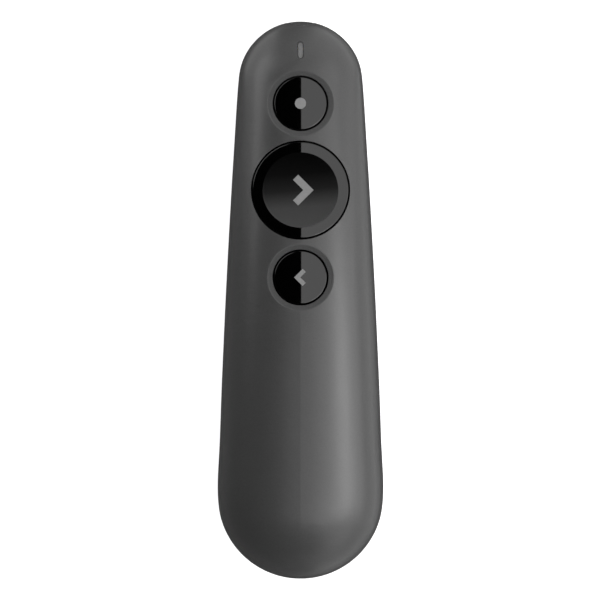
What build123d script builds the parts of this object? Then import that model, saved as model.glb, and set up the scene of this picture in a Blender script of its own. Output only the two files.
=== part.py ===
"""A hand-held wireless presentation clicker, modelled as the separate pieces it is assembled from.

Frame: millimetres, +Y towards the nose where the laser leaves, +Z up through the buttons, and the
origin on the table under the middle of the body. The clicker lies on its belly.
"""

import os
from math import cos, pi, sin, sqrt

from build123d import *

os.makedirs("parts", exist_ok=True)

# --- Body form: a long pebble, narrower at the nose ---------------------------------------------
body_length = 131.0
past = 5.0  # how far cutters and trims reach beyond what they cut
tail_radius = 19.4  # plan radius of the wide end, half of the greatest width
nose_radius = 14.6  # plan radius of the narrow end
side_radius = 2574.0  # the flanks bow out very slightly between the two ends
crown_height = 27.0  # top of the back above the table
crown_radius = 420.0  # bow of the back, seen from the side
bow_setback = 83.5  # the back and the waist are highest this far behind the tip of the nose
waist_height = 15.4  # height of the widest line
waist_radius = 900.0
belly_depth = 1.0  # how far the curved belly would pass below the flat it is cut to
belly_radius = 900.0
belly_setback = 80.5
end_power = 2.3  # above 2, the ends look blunter from the side than an ellipse
end_steps = (0.995, 0.96, 0.88, 0.74, 0.53, 0.28)  # section places along each rounded end
side_steps = 9
back_fullness = (0.66, 0.8)  # Bezier handles of the section above the waist, up and across
belly_fullness = (0.55, 0.72)

# --- Shells --------------------------------------------------------------------------------------
wall = 1.8
parting_drop = 0.4  # the shells part this far below the widest line
shadow_gap = 0.22  # fine groove around the parting line
shadow_depth = 0.35
lip_height = 1.0
lip_root = 0.8  # how far the lip reaches up inside its own shell
lip_inset = 0.5  # and how far it stands in from the shell's inner face
fit_gap = 0.1  # between pieces that locate each other
inner_wall = 1.2  # tubs and sleeves inside the shells
rib_thickness = 1.0
rib_top = 9.6
tub_rib_offsets = (8.0, 22.0, 36.0)  # cross ribs beside the battery tub, from its tail end
belly_rib_offsets = (8.0, 18.0, 28.0)  # and across the belly, from its nose end
hook_setbacks = (35.5, 85.5)  # snap hooks on both flanks, behind the tip of the nose
hook_length = 5.0
hook_thickness = 1.0
hook_reach = 3.6  # below the parting
hook_bite = 0.7  # how far its nub stands out
hook_nub_height = 0.9

# --- Buttons -------------------------------------------------------------------------------------
laser_button_setback = 19.6  # behind the tip of the nose
next_button_pitch = 20.3  # behind the laser button
back_button_pitch = 20.4  # behind the next button
small_well_radius = 6.55
next_well_radius = 11.6
button_gap = 0.4
button_rim = 0.2  # rounding of the cap's edge
button_travel = 0.5
small_cap_sink = 0.5  # the small caps sit a little below the back
next_cap_sink = 0.1
cap_thickness = 1.0
cap_round = 46.0  # roundness of the caps from side to side
skirt_wall = 0.9
dish_radius = 8.85
dish_depth = 1.25
dimple_width = 1.15  # sloping rim round each small well
dimple_depth = 1.05  # where its slope would reach in the middle of the well
flange_lip = 0.6  # what keeps a cap from falling out
flange_thickness = 0.7
collar_wall = 1.4
rest_gap = 0.05  # between a released cap's flange and the collar above it
stem_radius = 1.5

# --- Circuit board and switches ------------------------------------------------------------------
board_depth = 6.1  # its underside lies this far below the back at the laser button's nose side
board_thickness = 1.0
board_length = 60.5
board_half_width = 11.2
board_corner = 6.5
board_tail_corner = 1.0
switch_size = 6.0
switch_height = 1.6
switch_floor = 0.3
switch_corner = 0.5
switch_clear = 0.2  # between a pressed cap and its switch
plunger_radius = 1.6
plunger_gap = 0.08
plunger_stroke_gap = 0.1  # left below and above the plunger at the end of its stroke
board_boss_radius = 2.0
board_boss_x = 9.5
board_boss_offsets = (-12.7, 12.4)  # from the next button
board_hole_radius = 1.1
board_screw_head_radius = 1.4
board_screw_head_height = 1.0
board_screw_radius = 0.65
board_screw_length = 4.0
pilot_gap = 0.05  # round a screw's thread
pilot_depth = 0.6  # hole left past a screw's tip

# --- Battery bay, one AAA cell -------------------------------------------------------------------
cell_radius = 5.25
cell_length = 44.5
cell_nub_radius = 1.9
cell_nub_height = 1.0
cell_edge = 0.5
cell_gap = 0.3
bay_inset = 27.5  # its end wall from the tip of the tail
contact_thickness = 0.35
contact_width = 8.0
contact_tab_width = 3.0
contact_rise = 3.8  # top of the plates above the cell's axis, under the tub's round roof
contact_dimple = 0.5
contact_dimple_radius = 2.0
contact_dimple_taper = 30
spring_length = 3.15
spring_wire_radius = 0.3
spring_turns = 3
spring_turn_arcs = 6  # the coil is drawn as this many tangent arcs a turn
spring_base_radius = 3.6
spring_tip_radius = 1.8
lead_radius = 0.45
lead_bend = 4.0
lead_offset = 2.0
lead_overlap = 3.0  # its stripped end lies under the board

# --- Battery door --------------------------------------------------------------------------------
door_thickness = 1.6
door_half_width = 8.0
door_corner = 3.0
door_gap = 0.2
door_lift = 0.1  # between the door's inner face and the shell's ledge
door_nose_margin = 2.6
door_tail_margin = 2.1
ledge_thickness = 1.5
ledge_margin = 1.5
detent_radius = 0.5
detent_height = 0.12
detent_length = 0.8
detent_margin = 12.0
scoop_width = 9.0
scoop_radius = 11.0
scoop_depth = 0.6
scoop_margin = 7.0
grip_offset = 7.5
grip_count = 4
grip_pitch = 1.2
grip_width = 0.5
grip_depth = 0.35

# --- Housing screws ------------------------------------------------------------------------------
screw_head_radius = 1.9
screw_head_height = 1.3
screw_head_gap = 0.15
screw_shank_radius = 0.8
screw_length = 10.0
screw_hole_radius = 1.0
screw_boss_radius = 2.6
screw_boss_top = 8.0
screw_x = 4.6
cross_width = 0.5
cross_length = 2.0
cross_depth = 0.6

# --- Laser module --------------------------------------------------------------------------------
barrel_radius = 3.0
barrel_window_gap = 1.6
barrel_length = 11.7
barrel_bore_radius = 1.9
diode_flange_radius = 2.6
diode_flange_thickness = 1.2
diode_can_radius = 1.75
diode_can_length = 2.4
diode_pin_radius = 0.22
diode_pin_spacing = 1.0
diode_leg_reach = 1.8
diode_leg_bend = 0.6
lens_radius = 2.3
lens_edge = 0.9
lens_bulge = 0.35
lens_gap = 0.05
window_radius = 3.4
window_flange_radius = 3.9
window_flange_thickness = 0.8
window_setback = 3.6  # back of its flange behind the tip of the nose
window_recess = 0.05  # its face follows the nose a little below the skin
window_boss_radius = 4.8
window_boss_front = 0.7  # the boss runs from behind the window's flange into the shell's wall
window_boss_back = 0.9
beam_radius = 2.9
saddle_thickness = 1.4
saddle_reach = 1.5  # saddle width past the barrel on each side
saddle_offsets = (2.6, 8.8)  # from the barrel's tail end

# --- Status light --------------------------------------------------------------------------------
light_setback = 7.05  # middle of the slot behind the tip of the nose
light_length = 3.8
light_width = 1.2
light_recess = 0.3
light_bar_thickness = 0.8
light_bar_width = 2.0
led_size = (1.6, 0.8, 0.6)
led_offset = 6.05  # behind the middle of the slot
led_board_margin = 2.1

# --- USB receiver --------------------------------------------------------------------------------
receiver_drop = 5.15  # its axis below the waist at the tip of the tail
receiver_cap_size = (14.4, 6.1)
receiver_cap_length = 7.3  # from the tip of the tail
receiver_cap_corner = 0.8
plug_size = (12.0, 4.5)
plug_length = 12.0
plug_wall = 0.3
plug_corner = 0.4
plug_window = 2.2
plug_window_pitch = 4.5
plug_window_reach = 6.3  # window centres from the plug's open end
tongue_setback = 0.6
tongue_size = (10.8, 1.9)
contact_strip_width = 1.0
contact_strip_length = 7.0
contact_strip_pitch = 2.3
contact_strip_thickness = 0.12
dock_gap = 0.15
grip_notch_height = 0.7
grip_notch_rise = 1.6  # above the receiver's axis
grip_notch_depth = 0.9  # in from the tip of the tail

# --- Radio parts on the board --------------------------------------------------------------------
chip_size = (5.0, 5.0, 0.9)
chip_place = (4.6, 4.2)  # across, and along from the board's tail end
crystal_size = (3.2, 2.5, 0.8)
crystal_place = (-4.8, 4.2)


def arc_height(y, peak, peak_y, radius):
    """Height of a shallow arc that is highest at peak_y."""
    return peak - radius + sqrt(radius**2 - (y - peak_y) ** 2)


def back_height(y):
    return arc_height(y, crown_height, bow_y, crown_radius)


def waist_line(y):
    return arc_height(y, waist_height, bow_y, waist_radius)


def belly_height(y):
    return -arc_height(y, belly_depth, belly_y, belly_radius)


# --- Places that follow from the sizes above -----------------------------------------------------
nose_y = body_length / 2
tail_y = -body_length / 2
tail_centre_y = tail_y + tail_radius
nose_centre_y = nose_y - nose_radius
bow_y = nose_y - bow_setback
belly_y = nose_y - belly_setback
laser_button_y = nose_y - laser_button_setback
next_button_y = laser_button_y - next_button_pitch
back_button_y = next_button_y - back_button_pitch
window_tail_y = nose_y - window_setback
barrel_nose_y = window_tail_y - barrel_window_gap
barrel_tail_y = barrel_nose_y - barrel_length
laser_height = waist_line(nose_y)
light_y = nose_y - light_setback
led_y = light_y - led_offset
board_nose_y = led_y + led_board_margin
board_tail_y = board_nose_y - board_length
board_bottom = back_height(laser_button_y + small_well_radius) - board_depth
cut_top = crown_height + past
board_top = board_bottom + board_thickness
switch_top = board_top + switch_height
plunger_bottom = board_top + switch_floor + button_travel + plunger_stroke_gap
plunger_top = switch_top + button_travel + plunger_stroke_gap + switch_clear
flange_bottom = switch_top + button_travel + switch_clear
flange_top = flange_bottom + flange_thickness
collar_bottom = flange_top + rest_gap
ledge_height = door_thickness + door_lift
ledge_top = ledge_height + ledge_thickness
bay_tail_y = tail_y + bay_inset
bay_length = contact_thickness * 2 + spring_length + cell_length + contact_dimple
bay_nose_y = bay_tail_y + bay_length
bay_radius = cell_radius + cell_gap
cell_height = ledge_height + cell_gap + cell_radius
cell_tail_y = bay_tail_y + contact_thickness + spring_length
tub_radius = bay_radius + inner_wall
screw_y = bay_tail_y - inner_wall - screw_boss_radius - door_gap
screw_seat = ledge_height + screw_head_height + cell_gap
door_tail_y = screw_y - screw_boss_radius - door_tail_margin
door_nose_y = bay_nose_y + door_nose_margin
receiver_step_y = tail_y + receiver_cap_length
receiver_nose_y = receiver_step_y + plug_length
receiver_height = waist_line(tail_y) - receiver_drop


def flank(inset):
    """Radii of the plan outline and the places where its flank arc meets its two end circles."""
    tail_r, nose_r, flank_r = tail_radius - inset, nose_radius - inset, side_radius - inset
    to_tail, to_nose = flank_r - tail_r, flank_r - nose_r
    span = nose_centre_y - tail_centre_y
    flank_y = (tail_centre_y + nose_centre_y) / 2 + (to_tail**2 - to_nose**2) / (2 * span)
    flank_x = -sqrt(to_tail**2 - (flank_y - tail_centre_y) ** 2)
    tail_join = tail_centre_y + (tail_centre_y - flank_y) * tail_r / to_tail
    nose_join = nose_centre_y + (nose_centre_y - flank_y) * nose_r / to_nose
    return tail_r, nose_r, flank_r, (flank_x, flank_y), tail_join, nose_join


def half_width(y, inset=0.0):
    """Half of the plan outline's width: a flank arc tangent to the tail circle and the nose circle."""
    tail_r, nose_r, flank_r, (flank_x, flank_y), tail_join, nose_join = flank(inset)
    if y < tail_join:
        return sqrt(tail_r**2 - (y - tail_centre_y) ** 2)
    if y > nose_join:
        return sqrt(nose_r**2 - (y - nose_centre_y) ** 2)
    return flank_x + sqrt(flank_r**2 - (y - flank_y) ** 2)


def plan_outline(inset):
    """The body's outline from above, inset evenly."""
    tail_r, nose_r, _, _, tail_join, nose_join = flank(inset)
    middle = (tail_join + nose_join) / 2
    tail_x, middle_x, nose_x = (half_width(y, inset) for y in (tail_join, middle, nose_join))
    tail_tip, nose_tip = (0, tail_centre_y - tail_r), (0, nose_centre_y + nose_r)
    with BuildSketch() as outline:
        with BuildLine():
            ThreePointArc((-tail_x, tail_join), tail_tip, (tail_x, tail_join))
            ThreePointArc((tail_x, tail_join), (middle_x, middle), (nose_x, nose_join))
            ThreePointArc((nose_x, nose_join), nose_tip, (-nose_x, nose_join))
            ThreePointArc((-nose_x, nose_join), (-middle_x, middle), (-tail_x, tail_join))
        make_face()
    return outline.sketch


def back_fall(x, y):
    """How far the back has fallen away from its top at x, found along the section's curve."""
    up, over = back_fullness
    w, h = half_width(y), back_height(y) - waist_line(y)
    low, high = 0.0, 1.0
    for _ in range(30):
        t = (low + high) / 2
        if w * ((1 - t) ** 3 + 3 * (1 - t) ** 2 * t + 3 * (1 - t) * t**2 * over) > x:
            low = t
        else:
            high = t
    return h * (1 - 3 * (1 - t) ** 2 * t * up - 3 * (1 - t) * t**2 - t**3)


def end_share(y, inset):
    """Share of the full section height that is left where the body rounds off at its ends."""
    if y < tail_centre_y:
        along = (tail_centre_y - y) / (tail_radius - inset)
    elif y > nose_centre_y:
        along = (y - nose_centre_y) / (nose_radius - inset)
    else:
        return 1.0
    return (1 - along**end_power) ** (1 / end_power)


def body_form(inset):
    """The pebble, inset evenly: one side lofted through upright half sections, then mirrored."""
    tail_r, nose_r = tail_radius - inset, nose_radius - inset
    span = nose_centre_y - tail_centre_y
    stations = [tail_centre_y - step * tail_r for step in end_steps]
    stations += [tail_centre_y + span * i / side_steps for i in range(side_steps + 1)]
    stations += [nose_centre_y + step * nose_r for step in reversed(end_steps)]
    sections = []
    for y in stations:
        w = half_width(y, inset)
        mid = waist_line(y)
        rise = (back_height(y) - inset - mid) * end_share(y, inset)
        fall = (mid - belly_height(y) - inset) * end_share(y, inset)
        with BuildSketch(Plane.XZ.offset(-y)) as section:
            with BuildLine():
                for height, (up, over) in ((rise, back_fullness), (-fall, belly_fullness)):
                    top = mid + height
                    Bezier((w, mid), (w, mid + up * height), (over * w, top), (0, top))
                Line((0, mid + rise), (0, mid - fall))
            make_face()
        sections.append(section.sketch.faces()[0])
    tail_tip, nose_tip = (
        Vertex(0, y, waist_line(y)) for y in (tail_centre_y - tail_r, nose_centre_y + nose_r)
    )
    with BuildPart() as form:
        loft(sections=[tail_tip, *sections, nose_tip])
        mirror(about=Plane.YZ)
    return form.part


def below_parting(raised=0.0):
    """Everything under the parting surface, which follows the waist, raised by the given height."""
    reach = nose_y + past
    drop = raised - parting_drop
    with BuildPart() as block:
        with BuildSketch(Plane.YZ):
            with BuildLine():
                ThreePointArc(
                    (-reach, waist_line(-reach) + drop),
                    (bow_y, waist_line(bow_y) + drop),
                    (reach, waist_line(reach) + drop),
                )
                Polyline(
                    (reach, waist_line(reach) + drop),
                    (reach, -past),
                    (-reach, -past),
                    (-reach, waist_line(-reach) + drop),
                )
            make_face()
        extrude(amount=tail_radius + past, both=True)
    return block.part


def parting_band(outer, inner, low, high):
    """Ring that follows the plan outline between two insets and the parting between two heights."""
    with BuildPart() as ring:
        with BuildSketch():
            add(plan_outline(outer))
            if inner is not None:
                add(plan_outline(inner), mode=Mode.SUBTRACT)
        extrude(amount=crown_height)
        add(below_parting(high), mode=Mode.INTERSECT)
        add(below_parting(low), mode=Mode.SUBTRACT)
    return ring.part


def hook_bands(gap=0.0):
    """The snap hooks' stems and their nubs, swollen by a gap to give the pockets they snap into.

    A nub is as deep as its stem, so the pocket also clears the stem where the shell draws in.
    """
    outer = wall + lip_inset
    with BuildPart() as slabs:
        with BuildSketch():
            with Locations(*((0, nose_y - setback) for setback in hook_setbacks)):
                Rectangle(2 * (tail_radius + past), hook_length + 2 * gap)
        extrude(amount=crown_height)
    with BuildPart() as stems:
        add(parting_band(wall, outer + hook_thickness, -lip_height, lip_root))
        add(parting_band(outer, outer + hook_thickness, -hook_reach, -lip_height))
        add(slabs.part, mode=Mode.INTERSECT)
    with BuildPart() as nubs:
        nub_top = hook_nub_height - hook_reach
        add(
            parting_band(
                outer - hook_bite - gap,
                outer + hook_thickness + gap,
                -hook_reach - gap,
                nub_top + gap,
            )
        )
        add(slabs.part, mode=Mode.INTERSECT)
    return stems.part, nubs.part


def across(y):
    """Plane across the body at y. What is extruded from it runs towards the tail."""
    return Plane.XZ.offset(-y)


def back_frame(y, sink=0.0):
    """Frame on the back at y, tipped with it, sunk below it."""
    tilt = (y - bow_y) / crown_radius
    normal = (0, tilt, sqrt(1 - tilt**2))
    return Plane(origin=(0, y, back_height(y) - sink), x_dir=(1, 0, 0), z_dir=normal)


def bowl(y, sink, radius, depth, round_across):
    """Cutter for a hollow in the back at y. Its rim is a circle of the given radius.

    It bows differently along and across, by what the surface it is cut in bows the other way.
    """
    rim_bow = 2 * depth / radius**2
    across_radius = 1 / (rim_bow - 1 / round_across)
    along_radius = 1 / (rim_bow - 1 / crown_radius)
    flip = along_radius > across_radius
    small, large = sorted((across_radius, along_radius))
    middle = Location((0, 0, large - depth), (0, 90, 0) if flip else (90, 0, 0))
    with BuildPart() as cutter:
        with Locations(back_frame(y, sink).location * middle):
            Torus(large - small, small)
    return cutter.part


# === Both shells start from one hollow form ======================================================
outer_form = body_form(0)
rib_limit = body_form(wall / 2)  # ribs end inside the wall
core_form = body_form(wall)

button_wells = (
    (laser_button_y, small_well_radius),
    (next_button_y, next_well_radius),
    (back_button_y, small_well_radius),
)
board_screw_places = [
    (side * board_boss_x, next_button_y + offset)
    for offset in board_boss_offsets
    for side in (-1, 1)
]
housing_screw_places = [(side * screw_x, screw_y) for side in (-1, 1)]

with BuildPart() as grounded:
    add(outer_form)
    split(bisect_by=Plane.XY)

with BuildPart() as cavity:
    add(core_form)
    split(bisect_by=Plane.XY.offset(wall))

with BuildPart() as hollow:
    add(grounded.part)
    add(cavity.part, mode=Mode.SUBTRACT)

# The window's seat in the tip of the nose is shared by both shells.
with BuildPart() as window_boss:
    with BuildSketch(across(window_tail_y + window_boss_front)):
        with Locations((0, laser_height)):
            Circle(window_boss_radius)
    extrude(amount=window_boss_front + window_boss_back)

with BuildPart() as window_hole:
    for front, radius, depth in (
        (nose_y + past, window_radius + fit_gap, window_setback + past),
        (
            window_tail_y + window_flange_thickness + fit_gap,
            window_flange_radius + fit_gap,
            window_flange_thickness + 2 * fit_gap,
        ),
        (window_tail_y, beam_radius, window_boss_back + fit_gap),
    ):
        with BuildSketch(across(front)):
            with Locations((0, laser_height)):
                Circle(radius)
        extrude(amount=depth)

# === Upper housing ===============================================================================
with BuildPart() as upper_ribs:
    with BuildSketch(Plane.XY.offset(collar_bottom)):
        for y, radius in button_wells:
            with Locations((0, y)):
                Circle(radius + collar_wall)
    extrude(amount=cut_top - collar_bottom)
    with BuildSketch(Plane.XY.offset(board_top)):
        with Locations(*board_screw_places):
            Circle(board_boss_radius)
    extrude(amount=cut_top - board_top)
    with BuildSketch(Plane.XY.offset(screw_boss_top)):
        with Locations(*housing_screw_places):
            Circle(screw_boss_radius)
    extrude(amount=cut_top - screw_boss_top)
    add(rib_limit, mode=Mode.INTERSECT)

with BuildPart() as upper_window_boss:
    add(window_boss.part)
    add(below_parting(-lip_height), mode=Mode.SUBTRACT)

with BuildPart() as upper_housing:
    add(hollow.part)
    add(below_parting(), mode=Mode.SUBTRACT)
    add(parting_band(wall / 2 + fit_gap, wall + lip_inset, -lip_height, lip_root))
    add(parting_band(-past, shadow_depth, -past, shadow_gap), mode=Mode.SUBTRACT)
    for piece in hook_bands():
        add(piece)
    add(upper_ribs.part)
    add(upper_window_boss.part)
    add(window_hole.part, mode=Mode.SUBTRACT)
    # The wells, and below the collars the room for the flanges that keep the caps in
    for y, radius in button_wells:
        with BuildSketch(Plane.XY.offset(board_top)):
            with Locations((0, y)):
                Circle(radius)
        extrude(amount=cut_top - board_top, mode=Mode.SUBTRACT)
        with BuildSketch(Plane.XY.offset(board_top)):
            with Locations((0, y)):
                Circle(radius + flange_lip + button_gap)
        extrude(amount=collar_bottom - board_top, mode=Mode.SUBTRACT)
    # Sloping rims of the small wells
    for y in (laser_button_y, back_button_y):
        rim = small_well_radius + dimple_width
        back_round = rim**2 / (2 * back_fall(rim, y))
        add(bowl(y, 0, rim, dimple_depth, back_round), mode=Mode.SUBTRACT)
    # Slot of the status light
    with BuildSketch(Plane.XY.offset(board_top)):
        with Locations((0, light_y)):
            SlotOverall(light_length + 2 * fit_gap, light_width + 2 * fit_gap, rotation=90)
    extrude(amount=cut_top - board_top, mode=Mode.SUBTRACT)
    # Pilot holes
    with BuildSketch(Plane.XY.offset(board_bottom)):
        with Locations(*board_screw_places):
            Circle(board_screw_radius + pilot_gap)
    extrude(amount=board_screw_length + pilot_depth, mode=Mode.SUBTRACT)
    with BuildSketch(Plane.XY.offset(screw_boss_top)):
        with Locations(*housing_screw_places):
            Circle(screw_shank_radius + pilot_gap)
    extrude(amount=screw_seat + screw_length + pilot_depth - screw_boss_top, mode=Mode.SUBTRACT)
    # The lip makes room for the receiver's dock.
    with BuildSketch(across(receiver_step_y)):
        with Locations((0, receiver_height)):
            Rectangle(*(size + 2 * (dock_gap + inner_wall + fit_gap) for size in receiver_cap_size))
    extrude(amount=receiver_cap_length + past, mode=Mode.SUBTRACT)
upper_housing.part.label = "upper_housing"
export_step(upper_housing.part, "parts/upper_housing.step")

# === Lower housing ===============================================================================
with BuildPart() as lower_ribs:
    # Battery tub
    with BuildSketch(across(bay_nose_y + inner_wall)):
        with Locations((0, cell_height)):
            Circle(tub_radius)
        with Locations((0, (cell_height + wall / 2) / 2)):
            Rectangle(2 * tub_radius, cell_height - wall / 2)
    extrude(amount=bay_length + 2 * inner_wall)
    # Cross ribs
    for y in (
        *(bay_tail_y + offset for offset in tub_rib_offsets),
        *(bay_nose_y + offset for offset in belly_rib_offsets),
    ):
        with BuildSketch(across(y + rib_thickness / 2)):
            with Locations((0, (rib_top + wall / 2) / 2)):
                Rectangle(2 * tail_radius, rib_top - wall / 2)
        extrude(amount=rib_thickness)
    # Ledge that the door closes against
    with BuildSketch(Plane.XY.offset(wall / 2)):
        with Locations((0, (door_nose_y + door_tail_y) / 2)):
            RectangleRounded(
                2 * (door_half_width + ledge_margin),
                door_nose_y - door_tail_y + 2 * ledge_margin,
                door_corner + ledge_margin,
            )
    extrude(amount=ledge_top - wall / 2)
    # Bosses of the housing screws
    with BuildSketch(Plane.XY.offset(ledge_height)):
        with Locations(*housing_screw_places):
            Circle(screw_boss_radius)
    extrude(amount=screw_boss_top - ledge_height)
    # Saddles of the laser barrel
    for offset in saddle_offsets:
        with BuildSketch(across(barrel_tail_y + offset + saddle_thickness / 2)):
            with Locations((0, (laser_height + wall / 2) / 2)):
                Rectangle(2 * (barrel_radius + saddle_reach), laser_height - wall / 2)
        extrude(amount=saddle_thickness)
    # Dock of the receiver
    with BuildSketch(across(receiver_nose_y + dock_gap + inner_wall)):
        with Locations((0, receiver_height)):
            RectangleRounded(
                *(size + 2 * (dock_gap + inner_wall) for size in receiver_cap_size),
                receiver_cap_corner + inner_wall,
            )
    extrude(amount=receiver_cap_length + plug_length + dock_gap + inner_wall)
    add(rib_limit, mode=Mode.INTERSECT)

with BuildPart() as lower_window_boss:
    add(window_boss.part)
    add(below_parting(-lip_height - fit_gap), mode=Mode.INTERSECT)

with BuildPart() as lower_housing:
    add(hollow.part)
    add(below_parting(), mode=Mode.INTERSECT)
    add(parting_band(wall / 2, None, -lip_height - fit_gap, past), mode=Mode.SUBTRACT)
    add(hook_bands(fit_gap)[1], mode=Mode.SUBTRACT)
    add(lower_ribs.part)
    add(lower_window_boss.part)
    add(window_hole.part, mode=Mode.SUBTRACT)
    # Recess of the battery door
    with BuildSketch():
        with Locations((0, (door_nose_y + door_tail_y) / 2)):
            RectangleRounded(
                2 * (door_half_width + door_gap),
                door_nose_y - door_tail_y + 2 * door_gap,
                door_corner + door_gap,
            )
    extrude(amount=ledge_height, mode=Mode.SUBTRACT)
    # Battery bay, open to the door
    with BuildSketch(across(bay_nose_y)):
        with Locations((0, cell_height)):
            Circle(bay_radius)
        with Locations((0, cell_height / 2)):
            Rectangle(2 * bay_radius, cell_height)
    extrude(amount=bay_length, mode=Mode.SUBTRACT)
    # Slots in the tub's roof for the tabs of the two contacts
    for y in (bay_nose_y - contact_thickness / 2, bay_tail_y + contact_thickness / 2):
        with BuildSketch(Plane.XY.offset(cell_height)):
            with Locations((0, y)):
                Rectangle(contact_tab_width + 2 * fit_gap, contact_thickness)
        extrude(amount=tub_radius, mode=Mode.SUBTRACT)
    # Screw holes with their counterbores
    with BuildSketch():
        with Locations(*housing_screw_places):
            Circle(screw_hole_radius)
    extrude(amount=screw_boss_top, mode=Mode.SUBTRACT)
    with BuildSketch():
        with Locations(*housing_screw_places):
            Circle(screw_head_radius + screw_head_gap)
    extrude(amount=screw_seat, mode=Mode.SUBTRACT)
    # Seats of the barrel
    with BuildSketch(across(barrel_nose_y)):
        with Locations((0, laser_height)):
            Circle(barrel_radius + fit_gap)
    extrude(amount=barrel_length, mode=Mode.SUBTRACT)
    # Mouth and pocket of the receiver's dock
    with BuildSketch(across(receiver_step_y + dock_gap)):
        with Locations((0, receiver_height)):
            RectangleRounded(
                *(size + 2 * dock_gap for size in receiver_cap_size), receiver_cap_corner + dock_gap
            )
    extrude(amount=receiver_cap_length + dock_gap + past, mode=Mode.SUBTRACT)
    with BuildSketch(across(receiver_nose_y + dock_gap)):
        with Locations((0, receiver_height)):
            RectangleRounded(*(size + 2 * dock_gap for size in plug_size), plug_corner + dock_gap)
    extrude(amount=plug_length, mode=Mode.SUBTRACT)
lower_housing.part.label = "lower_housing"
export_step(lower_housing.part, "parts/lower_housing.step")

# === Battery door ================================================================================
with BuildPart() as battery_door:
    with BuildSketch():
        with Locations((0, (door_nose_y + door_tail_y) / 2)):
            RectangleRounded(2 * door_half_width, door_nose_y - door_tail_y, door_corner)
    extrude(amount=door_thickness)
    add(grounded.part, mode=Mode.INTERSECT)
    # Detents that grip the sides of the recess
    with BuildSketch(Plane.XY.offset(door_thickness - detent_length)):
        with Locations(
            *(
                (side * (door_half_width + detent_height - detent_radius), y)
                for side in (-1, 1)
                for y in (door_tail_y + detent_margin, door_nose_y - detent_margin)
            )
        ):
            Circle(detent_radius)
    extrude(amount=detent_length)
    # Thumb scoop with grip lines
    with BuildSketch(Plane.YZ.offset(-scoop_width / 2)):
        with Locations((door_tail_y + scoop_margin, scoop_depth - scoop_radius)):
            Circle(scoop_radius)
    extrude(amount=scoop_width, mode=Mode.SUBTRACT)
    with BuildSketch():
        with Locations((0, door_tail_y + scoop_margin + grip_offset)):
            with GridLocations(1, grip_pitch, 1, grip_count):
                SlotOverall(scoop_width, grip_width)
    extrude(amount=grip_depth, mode=Mode.SUBTRACT)
battery_door.part.label = "battery_door"
export_step(battery_door.part, "parts/battery_door.step")

# === Buttons =====================================================================================
def button_cap(y, well_radius, sink, dish_gap=0.0):
    """Cap that bows with the back, hollow below, with a retaining flange and a stem."""
    radius = well_radius - button_gap
    lowest_top = back_height(y + radius) - sink
    hollow_top = min(lowest_top, back_height(y) - sink - dish_gap) - cap_thickness
    barrel_centre = Location((0, bow_y, crown_height - crown_radius - sink), (0, 90, 0))
    with BuildPart() as cap:
        with BuildSketch(Plane.XY.offset(flange_bottom)):
            with Locations((0, y)):
                Circle(radius)
        extrude(amount=cut_top - flange_bottom)
        with Locations(barrel_centre):
            Torus(crown_radius - cap_round, cap_round, mode=Mode.INTERSECT)
        fillet(cap.faces().sort_by(Axis.Z)[-1].edges(), button_rim)
        with BuildSketch(Plane.XY.offset(flange_bottom)):
            with Locations((0, y)):
                Circle(well_radius + flange_lip)
        extrude(amount=flange_thickness)
        with BuildSketch(Plane.XY.offset(flange_bottom)):
            with Locations((0, y)):
                Circle(radius - skirt_wall)
        extrude(amount=hollow_top - flange_bottom, mode=Mode.SUBTRACT)
        with BuildSketch(Plane.XY.offset(plunger_top)):
            with Locations((0, y)):
                Circle(stem_radius)
        extrude(amount=hollow_top - plunger_top)
    return cap.part


with BuildPart() as laser_button:
    add(button_cap(laser_button_y, small_well_radius, small_cap_sink))
laser_button.part.label = "laser_button"
export_step(laser_button.part, "parts/laser_button.step")

with BuildPart() as back_button:
    add(button_cap(back_button_y, small_well_radius, small_cap_sink))
back_button.part.label = "back_button"
export_step(back_button.part, "parts/back_button.step")

with BuildPart() as next_button:
    add(button_cap(next_button_y, next_well_radius, next_cap_sink, dish_depth))
    add(bowl(next_button_y, next_cap_sink, dish_radius, dish_depth, cap_round), mode=Mode.SUBTRACT)
next_button.part.label = "next_button"
export_step(next_button.part, "parts/next_button.step")

# === Switches, each with a plunger that moves with its cap =======================================
for name, y in (("laser", laser_button_y), ("next", next_button_y), ("back", back_button_y)):
    with BuildPart() as switch:
        with BuildSketch(Plane.XY.offset(board_top)):
            with Locations((0, y)):
                Rectangle(switch_size, switch_size)
        extrude(amount=switch_height)
        chamfer(switch.edges().filter_by(Axis.Z), switch_corner)
        with BuildSketch(Plane.XY.offset(board_top + switch_floor)):
            with Locations((0, y)):
                Circle(plunger_radius + plunger_gap)
        extrude(amount=switch_height, mode=Mode.SUBTRACT)
    switch.part.label = f"{name}_switch"
    export_step(switch.part, f"parts/{name}_switch.step")

    with BuildPart() as plunger:
        with BuildSketch(Plane.XY.offset(plunger_bottom)):
            with Locations((0, y)):
                Circle(plunger_radius)
        extrude(amount=plunger_top - plunger_bottom)
    plunger.part.label = f"{name}_plunger"
    export_step(plunger.part, f"parts/{name}_plunger.step")

# === Circuit board and what sits on it ===========================================================
with BuildPart() as main_board:
    with BuildSketch(Plane.XY.offset(board_bottom)) as board_outline:
        with Locations((0, (board_nose_y + board_tail_y) / 2)):
            Rectangle(2 * board_half_width, board_nose_y - board_tail_y)
        corners = board_outline.vertices().group_by(Axis.Y)
        fillet(corners[-1], board_corner)
        fillet(corners[0], board_tail_corner)
        with Locations(*board_screw_places):
            Circle(board_hole_radius, mode=Mode.SUBTRACT)
    extrude(amount=board_thickness)
main_board.part.label = "main_board"
export_step(main_board.part, "parts/main_board.step")


def board_component(place, size):
    """Plain block that stands on the board."""
    with BuildPart() as component:
        with BuildSketch(Plane.XY.offset(board_top)):
            with Locations(place):
                Rectangle(size[0], size[1])
        extrude(amount=size[2])
    return component.part


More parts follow.
